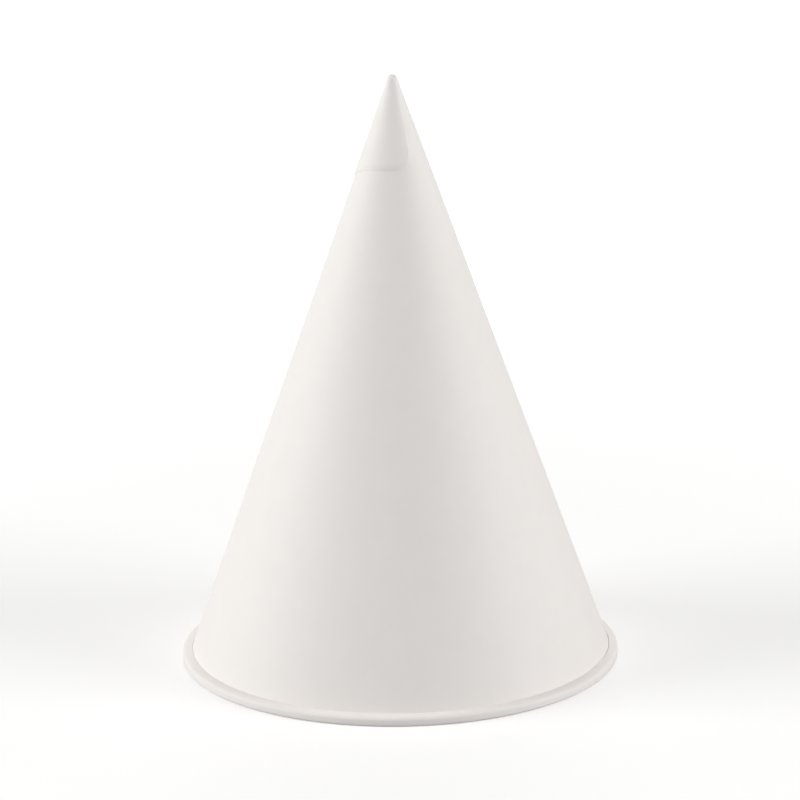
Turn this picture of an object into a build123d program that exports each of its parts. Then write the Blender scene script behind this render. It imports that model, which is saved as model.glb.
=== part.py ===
from build123d import *
from math import acos, asin, atan2, cos, degrees, hypot, radians, sin, tan
import os

# A cone paper cup that stands on its rolled rim, tip up. One blank of paper, a sector of a circle with a
# glue flap along one straight side, is wound into a cone with the flap on the outside, and its rim is
# rolled outwards. Millimetres and degrees, Z up. The origin is the middle of the standing face, and the
# front is -Y. Azimuths run from the front towards the left, round the back.

# Overall sizes
rim_diameter = 70.0
cup_height = 98.4
paper_thickness = 0.2

# Rolled rim: a curl pressed flat underneath and on its outside, with its free edge tucked down by the wall
curl_height = 1.95
curl_step = 1.04  # from the wall's outer face to the curl's outside, measured at the standing face
curl_bend = 0.3  # inside radius of the bends underneath and at the shoulder
tuck_bend = 0.45  # inside radius of the bend above the tucked edge
tuck_length = 1.4
tuck_gap = 0.06  # clear space between the tucked edge and the wall

# Tip: wound tight to a small hollow and pressed round, a little prouder than the flap on it
tip_hollow_radius = 0.4
tip_proud = 0.05
tip_length = 8.0  # down the slope, to where the tight winding has thinned out

# Glue flap, as it is cut on the flat blank: its free edge runs straight past the apex at the flap's width
flap_width = 16.2
flap_corner_radius = 2.1
flap_end_azimuth = -32.0

# Ramp where the sheet climbs over its own starting edge
ramp_angle = 9.0

# Overrun of cuts and of layers that are sunk into each other, and how many sections shape the curved edges
overrun = 0.04
overrun_angle = 2.0
edge_sections = 48
corner_sections = 8
ramp_sections = 5

# Cone of the wall's outer face, tangent to the layers round the tip
rim_radius = rim_diameter / 2
wall_foot_radius = rim_radius - curl_step
tip_layer_radius = tip_hollow_radius + paper_thickness
tip_radius = tip_layer_radius + paper_thickness + tip_proud
tip_centre = cup_height - tip_radius
half_angle = atan2(wall_foot_radius, tip_centre) - asin(tip_layer_radius / hypot(wall_foot_radius, tip_centre))
sin_half = sin(half_angle)
cos_half = cos(half_angle)
apex_height = tip_centre + tip_layer_radius / sin_half

# Where the layers start at the tip and end at the curl's tucked edge, measured down the slope from the apex
layer_start = tip_layer_radius * cos_half / sin_half
layer_end = (apex_height - curl_height) / cos_half + tuck_length / 2

# The blank's starting edge runs straight from the apex, parallel on the flat blank to the flap's free edge
start_azimuth = 90 / sin_half


def wall_point(slope, lift):
    """Radius and height of a point down the slope from the apex, lifted square off the wall's outer face."""
    radius = slope * sin_half + lift * cos_half
    height = apex_height - slope * cos_half + lift * sin_half
    return (radius, height)


def band(azimuth, slope_from, slope_to, lift_from, lift_to):
    """Four-sided section of a layer in the upright plane at an azimuth."""
    corners = [
        wall_point(slope_from, lift_from),
        wall_point(slope_to, lift_from),
        wall_point(slope_to, lift_to),
        wall_point(slope_from, lift_to),
    ]
    return Rot(0, 0, -90 - azimuth) * (Plane.XZ * make_face(Polyline(*corners, close=True)))


def spaced(first, last, count):
    """Evenly spaced values from first to last, as many as the count comes to when rounded."""
    steps = round(count) - 1
    return [first + (last - first) * step / steps for step in range(steps + 1)]


def bevel(radius, turn):
    """Leg of the bevel that touches the arc of a bend in its middle."""
    return radius * (tan(turn / 2) - tan(turn / 4))


def slope_at(height, lift):
    """How far down the slope a point at a height lies that is lifted square off the wall's outer face."""
    return (apex_height - height + lift * sin_half) / cos_half


def wall_and_curl():
    """Section of the wall and the rolled rim: one strip of paper, drawn with sharp corners and then bent."""
    inner_height = curl_height - paper_thickness
    inner_radius = rim_radius - paper_thickness
    tuck_lift = tuck_gap + paper_thickness
    tuck_end = slope_at(curl_height, tuck_gap) + tuck_length
    foot = wall_point(slope_at(0, -paper_thickness), -paper_thickness)
    lower = (rim_radius, 0)
    upper = (rim_radius, curl_height)
    tuck = wall_point(slope_at(curl_height, tuck_gap), tuck_gap)
    inner_foot = wall_point(slope_at(paper_thickness, 0), 0)
    inner_lower = (inner_radius, paper_thickness)
    inner_upper = (inner_radius, inner_height)
    inner_tuck = wall_point(slope_at(inner_height, tuck_lift), tuck_lift)
    strip_start = [wall_point(layer_start, 0), wall_point(layer_start, -paper_thickness)]
    strip_end = [wall_point(tuck_end, tuck_gap), wall_point(tuck_end, tuck_lift)]
    outer_face = [foot, lower, upper, tuck]
    inner_face = [inner_tuck, inner_upper, inner_lower, inner_foot]
    outline = Polyline(*strip_start, *outer_face, *strip_end, *inner_face, close=True)
    strip = make_face(outline)

    square = radians(90)
    bevels = [
        (foot, curl_bend + paper_thickness, square - half_angle),
        (lower, curl_bend + paper_thickness, square),
        (tuck, tuck_bend + paper_thickness, square + half_angle),
        (inner_foot, curl_bend, square - half_angle),
        (inner_lower, curl_bend, square),
        (inner_upper, curl_bend, square),
        (inner_tuck, tuck_bend, square + half_angle),
    ]
    for corner, radius, turn in bevels:
        strip = chamfer(strip.vertices().sort_by_distance(corner)[0], bevel(radius, turn))
    shoulder = strip.vertices().sort_by_distance(upper)[0]
    return fillet(shoulder, curl_bend + paper_thickness)


def tip():
    """Section of the pressed tip, round outside with a pointed hollow, which thins out into the wall."""
    middle = (half_angle + radians(90)) / 2
    hollow_top = (0, tip_centre + tip_hollow_radius)
    hollow_side = wall_point(layer_start, -paper_thickness)
    outer_side = wall_point(layer_start, paper_thickness + tip_proud)
    outer_middle = (tip_radius * cos(middle), tip_centre + tip_radius * sin(middle))
    outer_top = (0, cup_height)
    sunk_end = wall_point(layer_start + tip_length, -paper_thickness / 2)
    outline = [
        Line(hollow_top, hollow_side),
        Line(hollow_side, sunk_end),
        Line(sunk_end, outer_side),
        ThreePointArc(outer_side, outer_middle, outer_top),
        Line(outer_top, hollow_top),
    ]
    return make_face(outline)


def flap_edge():
    """Azimuth and slope of points along the flap's straight free edge, past its corner."""
    edge_end_azimuth = degrees(acos(flap_width / (layer_end + overrun))) / sin_half
    points = []
    for azimuth in spaced(flap_end_azimuth - overrun_angle, edge_end_azimuth, edge_sections):
        points.append((azimuth, flap_width / cos(radians(azimuth) * sin_half)))
    return points


def flap_corner():
    """Azimuth and slope of points round the flap's corner, an arc that oversteps both edges a little."""
    end_turn = radians(-flap_end_azimuth) * sin_half
    reach = flap_corner_radius - overrun
    centre_y = flap_width - reach
    centre_x = (centre_y * sin(end_turn) - reach) / cos(end_turn)
    points = []
    for turn in spaced(-end_turn, radians(90), corner_sections):
        x = centre_x + flap_corner_radius * cos(turn)
        y = centre_y + flap_corner_radius * sin(turn)
        points.append((-degrees(atan2(x, y)) / sin_half, hypot(x, y)))
    return points


def below_edge(points, slope_to):
    """Space below points along the flap's edge, down to a slope, cut square to the sheet."""
    lift_from = -paper_thickness / 2 - overrun
    lift_to = paper_thickness + overrun
    return loft([band(azimuth, slope, slope_to, lift_from, lift_to) for azimuth, slope in points])


def ramp_lift(share):
    """How far the sheet's faces lie above the wall's at a share of the ramp's length, easing down to it."""
    return paper_thickness * (1 + cos(radians(180) * share)) / 2


def above_ramp():
    """Space over the ramp, where the flap's outer face comes down to the wall's."""
    sections = []
    for share in spaced(0, 1, ramp_sections):
        azimuth = start_azimuth + ramp_angle * share
        lift_from = ramp_lift(share) + overrun * (1 - 2 * share)
        sections.append(band(azimuth, 0, layer_end + overrun, lift_from, paper_thickness + 2 * overrun))
    return loft(sections)


def below_ramp():
    """Space under the ramp inside the cup, with a square step at the sheet's starting edge."""
    slope_to = (apex_height - curl_height) / cos_half
    sections = []
    for share in spaced(0, 1, ramp_sections):
        azimuth = start_azimuth + ramp_angle * share
        lift_to = ramp_lift(share) - paper_thickness - overrun * share
        lift_from = -paper_thickness - 2 * overrun
        sections.append(band(azimuth, layer_start + tip_length, slope_to, lift_from, lift_to))
    return loft(sections)


def flap():
    """Outer layer of the lap, sunk halfway into the wall and held below by the tucked edge."""
    first = start_azimuth + ramp_angle - overrun_angle / 2
    layer = band(first, layer_start - overrun, layer_end, -paper_thickness / 2, paper_thickness)
    sheet = revolve(layer, axis=Axis.Z, revolution_arc=first - flap_end_azimuth)
    sheet = sheet - below_edge(flap_edge(), layer_end + 2 * overrun)
    sheet = sheet - below_edge(flap_corner(), flap_width + flap_corner_radius)
    return sheet - above_ramp()


base = revolve(Plane.XZ * (wall_and_curl() + tip()), axis=Axis.Z)
cone_cup = base + flap() - below_ramp()

os.makedirs("parts", exist_ok=True)
export_step(cone_cup, "parts/cone_cup.step")
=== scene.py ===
import bmesh
import bpy
from math import acos, asin, atan2, cos, degrees, hypot, pi, radians, sin, tan
from mathutils import Matrix, Vector, noise

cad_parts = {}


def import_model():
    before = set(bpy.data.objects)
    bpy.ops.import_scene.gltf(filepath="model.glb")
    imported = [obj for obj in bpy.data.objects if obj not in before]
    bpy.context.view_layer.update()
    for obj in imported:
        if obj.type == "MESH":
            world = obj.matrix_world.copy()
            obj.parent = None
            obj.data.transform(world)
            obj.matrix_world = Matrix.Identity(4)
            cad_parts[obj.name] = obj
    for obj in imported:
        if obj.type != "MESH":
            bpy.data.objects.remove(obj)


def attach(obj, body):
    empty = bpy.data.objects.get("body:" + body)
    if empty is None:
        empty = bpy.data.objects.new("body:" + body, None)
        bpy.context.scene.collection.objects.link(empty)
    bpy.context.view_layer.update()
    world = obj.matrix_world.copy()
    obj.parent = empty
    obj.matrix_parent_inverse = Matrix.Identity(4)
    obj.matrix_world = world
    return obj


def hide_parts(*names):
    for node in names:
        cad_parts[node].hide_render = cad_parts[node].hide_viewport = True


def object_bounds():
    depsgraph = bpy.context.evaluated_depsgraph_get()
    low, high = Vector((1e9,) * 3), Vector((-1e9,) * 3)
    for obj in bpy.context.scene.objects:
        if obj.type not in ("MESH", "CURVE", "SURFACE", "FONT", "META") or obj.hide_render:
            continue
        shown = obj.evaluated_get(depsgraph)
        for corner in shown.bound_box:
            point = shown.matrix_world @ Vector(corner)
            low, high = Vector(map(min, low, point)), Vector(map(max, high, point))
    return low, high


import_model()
cad_low, cad_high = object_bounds()

# A white cone paper cup, standing tip up on its rolled rim: one sheet of paper, wound into a cone and
# glued along a lap. Metres, Z up. Azimuths are in degrees, from the front (-Y) towards the left.
MM = 0.001

# The paper's thickness, and the cone's size from the CAD model's box
PAPER = 0.2 * MM
RIM_RADIUS = (cad_high.x - cad_low.x) / 2
CUP_HEIGHT = cad_high.z - cad_low.z

# Rolled rim: bends are inside radii, apart from the crease, which is pressed flat
CURL_HEIGHT = 1.85 * MM
CURL_STEP = 1.04 * MM  # from the wall's outer face to the curl's outside, at the floor
CURL_BEND = 0.3 * MM
SHOULDER_BEND = 0.45 * MM
SHOULDER_DROP = 0.3 * MM  # from the curl's top by the wall down to its shoulder
TUCK_BEND = 0.02 * MM
TUCK_CREASE = 0.08 * MM  # outside radius of the bend above the tucked edge
TUCK_LENGTH = 1.2 * MM
TUCK_GAP = 0.01 * MM
TUCK_RISE = 8.0 * MM  # along the slope, in which the curl climbs over the flap

# Pressed tip
TIP_HOLLOW_RADIUS = 0.4 * MM
TIP_PROUD = 0.05 * MM  # by which it stands off the flap
TIP_LENGTH = 8.0 * MM  # down the slope, to where the tight winding has thinned out

# Lap: the flap's free edge passes the apex at the flap's width on the flat blank
FLAP_WIDTH = 16.2 * MM
FLAP_CORNER_RADIUS = 2.1 * MM
FLAP_END = -32.0
PRESS_SHARE = 0.45  # of the paper's thickness, by which its free edge is pressed down
PRESS_WIDTH = 0.8 * MM
SPRING_HEIGHT = 0.3 * MM  # by which the flap's corner springs off the cone
SPRING_FROM = -9.0
SPRING_POWER = 5  # how fast the spring grows towards the free edge
RAMP_ANGLE = 9.0
STEP_SHARE = 0.96  # of the paper's thickness: the step inside, at the sheet's starting edge
STEP_FADE = 2.0 * MM

# Slight waviness of the wound wall
WAVE_HEIGHT = 0.02 * MM
WAVE_LENGTH = 14.0 * MM
WAVE_FADE = 10.0 * MM

# Mesh density
COLUMN_ANGLE = 1.5
CORNER_COLUMNS = 24
RAMP_COLUMNS = 13
UPPER_ROWS = 56
PRESS_ROWS = 6
LOWER_ROWS = 44
INNER_ROWS = 60
BEND_STEPS = 8
DOME_STEPS = 8
WELD = 0.0005 * MM
SHARP_ANGLE = radians(32)

# The paper's look: faint clouds in its colour, with their place on the noise's range, and fine fibres
PAPER_ROUGHNESS = 0.62
PAPER_GLOSS = 0.35
CLOUD_SCALE = 260
CLOUD_DETAIL = 5
CLOUD_ROUGHNESS = 0.6
CLOUD_TINTS = ((0.3, (0.866, 0.834, 0.806, 1)), (0.7, (0.882, 0.850, 0.822, 1)))
FIBRE_SCALE = 2600
FIBRE_DETAIL = 3
FIBRE_STRENGTH = 0.35
FIBRE_HEIGHT = 0.02 * MM

# Floor: it glows for the camera alone, more with the distance from the cup
FLOOR_RADIUS = 3.0
FLOOR_SIDES = 96
FLOOR_COLOR = (0.6, 0.6, 0.6, 1)
FLOOR_GLOW_NEAR = 0.48
FLOOR_GLOW_FAR = 0.6
FLOOR_GLOW_FROM = 60.0 * MM
FLOOR_GLOW_TO = 200.0 * MM

# Camera, with its angles in degrees
VIEW_ELEVATION = 18.75
VIEW_ROLL = -0.8
VIEW_DISTANCE = 5.0
VIEW_WIDTH = 128.4 * MM  # what the picture's width takes in at the cup
AIM_SIDE = 0.53 * MM
AIM_HEIGHT = 43.4 * MM

# Light: azimuth, elevation, power and colour of the large soft lamps, and the world as light and as seen
WHITE_LIGHT = (1.0, 1.0, 1.0)
WARM_LIGHT = (1.0, 0.95, 0.92)
LAMPS = {
    "left_lamp": (80.0, 20.0, 37.5, WHITE_LIGHT),
    "right_lamp": (-70.0, 20.0, 32.0, WHITE_LIGHT),
    "top_lamp": (0.0, 85.0, 8.5, WARM_LIGHT),
    "back_lamp": (180.0, 25.0, 9.0, WHITE_LIGHT),
}
LAMP_DISTANCE = 2.1
LAMP_SIZE = 1.35
WORLD_LIGHT = 0.08
WORLD_SEEN = 1.0
WORLD_COLOR = (1.0, 1.0, 1.0, 1)

# Cone of the wall's outer face, tangent to the layers round the tip
WALL_FOOT_RADIUS = RIM_RADIUS - CURL_STEP
TIP_LAYER_RADIUS = TIP_HOLLOW_RADIUS + PAPER
TIP_RADIUS = TIP_LAYER_RADIUS + PAPER + TIP_PROUD
TIP_CENTRE = CUP_HEIGHT - TIP_RADIUS
HALF_ANGLE = (atan2(WALL_FOOT_RADIUS, TIP_CENTRE)
              - asin(TIP_LAYER_RADIUS / hypot(WALL_FOOT_RADIUS, TIP_CENTRE)))
SIN_HALF = sin(HALF_ANGLE)
COS_HALF = cos(HALF_ANGLE)
APEX_HEIGHT = TIP_CENTRE + TIP_LAYER_RADIUS / SIN_HALF

# Places down the slope from the apex, and the azimuth of the sheet's starting edge
LAYER_START = TIP_LAYER_RADIUS * COS_HALF / SIN_HALF
LAYER_END = (APEX_HEIGHT - CURL_HEIGHT) / COS_HALF + TUCK_LENGTH / 2
STEP_TO = (APEX_HEIGHT - CURL_HEIGHT) / COS_HALF
START_AZIMUTH = 90 / SIN_HALF


def spaced(first, last, count):
    """Evenly spaced values from first to last."""
    return [first + (last - first) * step / (count - 1) for step in range(count)]


def eased(share):
    """Smooth rise from 0 to 1, held at both ends."""
    share = min(max(share, 0), 1)
    return share * share * (3 - 2 * share)


def wall_point(slope, lift):
    """Radius and height of a point down the slope from the apex, lifted off the wall's outer face."""
    radius = slope * SIN_HALF + lift * COS_HALF
    height = APEX_HEIGHT - slope * COS_HALF + lift * SIN_HALF
    return Vector((radius, height))


def left_of(direction):
    """The direction a quarter turn to the left."""
    return Vector((-direction.y, direction.x))


def offset_line(corners, distance):
    """Corners of a line that runs at a distance to the left of a line."""
    sides = [left_of((b - a).normalized()) for a, b in zip(corners, corners[1:])]
    moved = [corners[0] + sides[0] * distance]
    for corner, before, after in zip(corners[1:], sides, sides[1:]):
        moved.append(corner + (before + after) * (distance / (1 + before.dot(after))))
    moved.append(corners[-1] + sides[-1] * distance)
    return moved


def rounded_line(corners, radii):
    """Points of a line whose inner corners are arcs, all of them turns to the left."""
    points = [corners[0]]
    for before, corner, after, radius in zip(corners, corners[1:], corners[2:], radii):
        inward = (corner - before).normalized()
        outward = (after - corner).normalized()
        turn = acos(inward.dot(outward))
        centre = corner - inward * (radius * tan(turn / 2)) + left_of(inward) * radius
        for angle in spaced(0, turn, BEND_STEPS + 1):
            points.append(centre + (inward * sin(angle) - left_of(inward) * cos(angle)) * radius)
    points.append(corners[-1])
    return points


def rim_lines(lift):
    """The paper's two faces in section, from the tip down the wall and round the curl to its end.

    The tucked edge may be lifted off the wall, by the flap that runs under it.
    """
    foot_radius = WALL_FOOT_RADIUS - PAPER / COS_HALF
    tuck_lift = lift + TUCK_GAP
    tuck_slope = (APEX_HEIGHT - CURL_HEIGHT + tuck_lift * SIN_HALF) / COS_HALF
    corners = [
        wall_point(LAYER_START, -PAPER),
        Vector((foot_radius, 0)),
        Vector((RIM_RADIUS, 0)),
        Vector((RIM_RADIUS, CURL_HEIGHT - SHOULDER_DROP)),
        wall_point(tuck_slope, tuck_lift),
        wall_point(tuck_slope + TUCK_LENGTH, tuck_lift),
    ]
    bends = [CURL_BEND, CURL_BEND, SHOULDER_BEND]
    inner = rounded_line(corners, [bend + PAPER for bend in bends] + [TUCK_CREASE])
    outer = rounded_line(offset_line(corners, PAPER), bends + [TUCK_BEND])
    return inner, outer


INNER_LINE, OUTER_LINE = rim_lines(0)
WALL_END = (APEX_HEIGHT - OUTER_LINE[1].y) / COS_HALF
INNER_END = (APEX_HEIGHT - INNER_LINE[1].y - PAPER * SIN_HALF) / COS_HALF


def wave(azimuth, slope):
    """How far the wall's faces wander out or in, nothing near the tip and the rim."""
    fade = eased((slope - LAYER_START) / WAVE_FADE) * eased((STEP_TO - slope) / WAVE_FADE)
    radius = slope * SIN_HALF
    turn = radians(azimuth)
    place = Vector((radius * sin(turn), radius * cos(turn), slope)) / WAVE_LENGTH
    return WAVE_HEIGHT * fade * noise.noise(place)


def tip_lift(slope):
    """How far the tight winding of the tip stands off the wall, thinning out down the slope."""
    share = (slope - LAYER_START) / TIP_LENGTH
    return (PAPER + TIP_PROUD) * (1 - share) - PAPER / 2 * share


def flap_lift(azimuth, slope, edge, lift):
    """How far the flap's outer face stands off the wall: pressed at its edge, sprung at its end."""
    pressed = PRESS_SHARE * eased((slope - edge + PRESS_WIDTH) / PRESS_WIDTH)
    sprung = max(0, (azimuth - SPRING_FROM) / (FLAP_END - SPRING_FROM))
    spring = SPRING_HEIGHT * sprung * sprung * (slope / FLAP_WIDTH) ** SPRING_POWER
    return lift * (1 - pressed) + spring


def dome(radius, count):
    """Quarter round of the tip in section, from its top to the cone's side."""
    return [Vector((radius * cos(angle), TIP_CENTRE + radius * sin(angle)))
            for angle in spaced(pi / 2, HALF_ANGLE, count)]


def section(azimuth, edge, lift, retreat):
    """The cup's section at an azimuth, from the tip's top down outside, round the rim and up inside.

    Above the slope where the flap's edge passes, the outer face is lifted. Inside, the face may retreat.
    """
    points = dome(TIP_RADIUS, DOME_STEPS)
    press_from = edge - PRESS_WIDTH
    rows = spaced(LAYER_START, press_from, UPPER_ROWS) + spaced(press_from, edge, PRESS_ROWS + 1)[1:]
    for slope in rows:
        raised = flap_lift(azimuth, slope, edge, lift) if lift else 0
        points.append(wall_point(slope, max(raised, tip_lift(slope)) + wave(azimuth, slope)))
    for slope in spaced(edge, WALL_END, LOWER_ROWS):
        points.append(wall_point(slope, max(0, tip_lift(slope)) + wave(azimuth, slope)))
    inner, outer = rim_lines(lift * eased(1 - (LAYER_END - edge) / TUCK_RISE))
    points += outer[2:] + inner[:1:-1]
    for slope in spaced(INNER_END, LAYER_START, INNER_ROWS):
        fade = eased((slope - LAYER_START - TIP_LENGTH) / STEP_FADE)
        fade *= eased((STEP_TO - slope) / STEP_FADE)
        points.append(wall_point(slope, retreat * fade - PAPER + wave(azimuth, slope)))
    return points + dome(TIP_HOLLOW_RADIUS, DOME_STEPS)[-2::-1]


def flap_edge(azimuth):
    """Slope of the flap's straight free edge, which ends inside the curl."""
    turn = radians(azimuth) * SIN_HALF
    if cos(turn) * LAYER_END <= FLAP_WIDTH:
        return LAYER_END
    return FLAP_WIDTH / cos(turn)


def flap_corner():
    """Azimuth and slope of points round the flap's corner, from its end to its straight edge."""
    end_turn = radians(-FLAP_END) * SIN_HALF
    centre_y = FLAP_WIDTH - FLAP_CORNER_RADIUS
    centre_x = (centre_y * sin(end_turn) - FLAP_CORNER_RADIUS) / cos(end_turn)
    points = []
    for turn in spaced(-end_turn, pi / 2, CORNER_COLUMNS):
        x = centre_x + FLAP_CORNER_RADIUS * cos(turn)
        y = centre_y + FLAP_CORNER_RADIUS * sin(turn)
        points.append((-degrees(atan2(x, y)) / SIN_HALF, hypot(x, y)))
    return points


def columns():
    """Azimuth, flap's edge, lift and retreat of each column of the mesh, from the flap's end on."""
    found = [(azimuth, edge, PAPER, 0) for azimuth, edge in flap_corner()]
    edge_end = degrees(acos(FLAP_WIDTH / LAYER_END)) / SIN_HALF
    for first, last in ((found[-1][0], edge_end), (edge_end, START_AZIMUTH)):
        count = round((last - first) / COLUMN_ANGLE)
        for azimuth in spaced(first, last, count)[1:]:
            found.append((azimuth, flap_edge(azimuth), PAPER, 0))
    for share in spaced(0, 1, RAMP_COLUMNS):
        lift = PAPER * (1 - eased(share))
        found.append((START_AZIMUTH + RAMP_ANGLE * share, LAYER_END, lift, STEP_SHARE * lift))
    plain_from = START_AZIMUTH + RAMP_ANGLE
    plain_to = FLAP_END + 360
    count = round((plain_to - plain_from) / COLUMN_ANGLE)
    end_edge = found[0][1]
    for share in spaced(0, 1, count)[1:]:
        azimuth = plain_from + (plain_to - plain_from) * share
        found.append((azimuth, LAYER_END + (end_edge - LAYER_END) * eased(share), 0, 0))
    return found


def paper_cup():
    """The wound, glued and rolled sheet as one closed mesh."""
    shape = bmesh.new()
    grid = []
    for azimuth, edge, lift, retreat in columns():
        turn = radians(azimuth)
        points = section(azimuth, edge, lift, retreat)
        grid.append([shape.verts.new((-p.x * sin(turn), -p.x * cos(turn), p.y)) for p in points])
    for this, following in zip(grid, grid[1:] + grid[:1]):
        for n in range(len(this) - 1):
            shape.faces.new((this[n], this[n + 1], following[n + 1], following[n]))
    bmesh.ops.remove_doubles(shape, verts=shape.verts, dist=WELD)
    bmesh.ops.recalc_face_normals(shape, faces=shape.faces)
    for face in shape.faces:
        face.smooth = True
    mesh = bpy.data.meshes.new("paper_cone")
    shape.to_mesh(mesh)
    shape.free()
    mesh.set_sharp_from_angle(angle=SHARP_ANGLE)
    cup = bpy.data.objects.new("paper_cone", mesh)
    bpy.context.scene.collection.objects.link(cup)
    return cup


def new_material(name):
    """An empty node material: the material, its nodes, its links and its output."""
    material = bpy.data.materials.new(name)
    material.use_nodes = True
    nodes = material.node_tree.nodes
    nodes.clear()
    return material, nodes, material.node_tree.links, nodes.new("ShaderNodeOutputMaterial")


def paper_material():
    """Uncoated white paper: faint cloudy formation, fine fibres and a matt surface."""
    material, nodes, links, output = new_material("white_paper")
    shader = nodes.new("ShaderNodeBsdfPrincipled")
    shader.inputs["Roughness"].default_value = PAPER_ROUGHNESS
    shader.inputs["Specular IOR Level"].default_value = PAPER_GLOSS
    place = nodes.new("ShaderNodeTexCoord")

    clouds = nodes.new("ShaderNodeTexNoise")
    clouds.inputs["Scale"].default_value = CLOUD_SCALE
    clouds.inputs["Detail"].default_value = CLOUD_DETAIL
    clouds.inputs["Roughness"].default_value = CLOUD_ROUGHNESS
    links.new(place.outputs["Object"], clouds.inputs["Vector"])
    tint = nodes.new("ShaderNodeValToRGB")
    for stop, (position, color) in zip(tint.color_ramp.elements, CLOUD_TINTS):
        stop.position = position
        stop.color = color
    links.new(clouds.outputs["Fac"], tint.inputs["Fac"])
    links.new(tint.outputs["Color"], shader.inputs["Base Color"])

    fibres = nodes.new("ShaderNodeTexNoise")
    fibres.inputs["Scale"].default_value = FIBRE_SCALE
    fibres.inputs["Detail"].default_value = FIBRE_DETAIL
    links.new(place.outputs["Object"], fibres.inputs["Vector"])
    bump = nodes.new("ShaderNodeBump")
    bump.inputs["Strength"].default_value = FIBRE_STRENGTH
    bump.inputs["Distance"].default_value = FIBRE_HEIGHT
    links.new(fibres.outputs["Fac"], bump.inputs["Height"])
    links.new(bump.outputs["Normal"], shader.inputs["Normal"])
    links.new(shader.outputs["BSDF"], output.inputs["Surface"])
    return material


def floor_material():
    """Matt pale surface that shows the cup's soft shadow and is white elsewhere."""
    material, nodes, links, output = new_material("pale_floor")
    diffuse = nodes.new("ShaderNodeBsdfDiffuse")
    diffuse.inputs["Color"].default_value = FLOOR_COLOR
    glow = nodes.new("ShaderNodeEmission")
    light_path = nodes.new("ShaderNodeLightPath")
    place = nodes.new("ShaderNodeTexCoord")
    distance = nodes.new("ShaderNodeVectorMath")
    distance.operation = "LENGTH"
    links.new(place.outputs["Object"], distance.inputs[0])
    level = nodes.new("ShaderNodeMapRange")
    level.interpolation_type = "SMOOTHSTEP"
    level.inputs["From Min"].default_value = FLOOR_GLOW_FROM
    level.inputs["From Max"].default_value = FLOOR_GLOW_TO
    level.inputs["To Min"].default_value = FLOOR_GLOW_NEAR
    level.inputs["To Max"].default_value = FLOOR_GLOW_FAR
    links.new(distance.outputs["Value"], level.inputs["Value"])
    strength = nodes.new("ShaderNodeMath")
    strength.operation = "MULTIPLY"
    links.new(light_path.outputs["Is Camera Ray"], strength.inputs[0])
    links.new(level.outputs["Result"], strength.inputs[1])
    links.new(strength.outputs["Value"], glow.inputs["Strength"])
    both = nodes.new("ShaderNodeAddShader")
    links.new(diffuse.outputs["BSDF"], both.inputs[0])
    links.new(glow.outputs["Emission"], both.inputs[1])
    links.new(both.outputs["Shader"], output.inputs["Surface"])
    return material


def floor():
    """Plain round floor, far wider than the picture."""
    disc = bmesh.new()
    bmesh.ops.create_circle(disc, cap_ends=True, segments=FLOOR_SIDES, radius=FLOOR_RADIUS)
    mesh = bpy.data.meshes.new("floor")
    disc.to_mesh(mesh)
    disc.free()
    mesh.materials.append(floor_material())
    ground = bpy.data.objects.new("floor", mesh)
    bpy.context.scene.collection.objects.link(ground)


def world():
    """Even soft light all round, and plain white where it is seen or mirrored."""
    surroundings = bpy.data.worlds.new("studio")
    surroundings.use_nodes = True
    nodes = surroundings.node_tree.nodes
    links = surroundings.node_tree.links
    background = nodes["Background"]
    light_path = nodes.new("ShaderNodeLightPath")
    seen = light_path.outputs["Is Camera Ray"]
    for ray in ("Is Glossy Ray", "Is Transmission Ray"):
        either = nodes.new("ShaderNodeMath")
        either.operation = "MAXIMUM"
        links.new(seen, either.inputs[0])
        links.new(light_path.outputs[ray], either.inputs[1])
        seen = either.outputs["Value"]
    strength = nodes.new("ShaderNodeMapRange")
    strength.inputs["To Min"].default_value = WORLD_LIGHT
    strength.inputs["To Max"].default_value = WORLD_SEEN
    links.new(seen, strength.inputs["Value"])
    links.new(strength.outputs["Result"], background.inputs["Strength"])
    background.inputs["Color"].default_value = WORLD_COLOR
    bpy.context.scene.world = surroundings


def direction_to(azimuth, elevation):
    """Unit vector from the cup towards an azimuth and elevation, in degrees."""
    turn = radians(azimuth)
    rise = radians(elevation)
    return Vector((-sin(turn) * cos(rise), -cos(turn) * cos(rise), sin(rise)))


def lamps():
    """Large soft lamps on either side, overhead and behind, out of the picture."""
    middle = Vector((0, 0, AIM_HEIGHT))
    for name, (azimuth, elevation, power, color) in LAMPS.items():
        light = bpy.data.lights.new(name, "AREA")
        light.shape = "SQUARE"
        light.size = LAMP_SIZE
        light.energy = power
        light.color = color
        lamp = bpy.data.objects.new(name, light)
        away = direction_to(azimuth, elevation)
        lamp.location = middle + away * LAMP_DISTANCE
        lamp.rotation_euler = away.to_track_quat("Z", "Y").to_euler()
        lamp.visible_camera = False
        bpy.context.scene.collection.objects.link(lamp)


def camera():
    """Long lens from the front, looking down a little and tilted slightly to one side."""
    lens = bpy.data.cameras.new("camera")
    lens.lens = lens.sensor_width * VIEW_DISTANCE / VIEW_WIDTH
    eye = bpy.data.objects.new("camera", lens)
    away = direction_to(0, VIEW_ELEVATION)
    turn = away.to_track_quat("Z", "Y").to_matrix() @ Matrix.Rotation(radians(VIEW_ROLL), 3, "Z")
    eye.rotation_euler = turn.to_euler()
    eye.location = Vector((AIM_SIDE, 0, AIM_HEIGHT)) + away * VIEW_DISTANCE
    bpy.context.scene.collection.objects.link(eye)
    bpy.context.scene.camera = eye


cup = paper_cup()
cup.data.materials.append(paper_material())
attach(cup, "root")
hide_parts("cone_cup")

floor()
world()
lamps()
camera()
bpy.context.scene.view_settings.view_transform = "Standard"
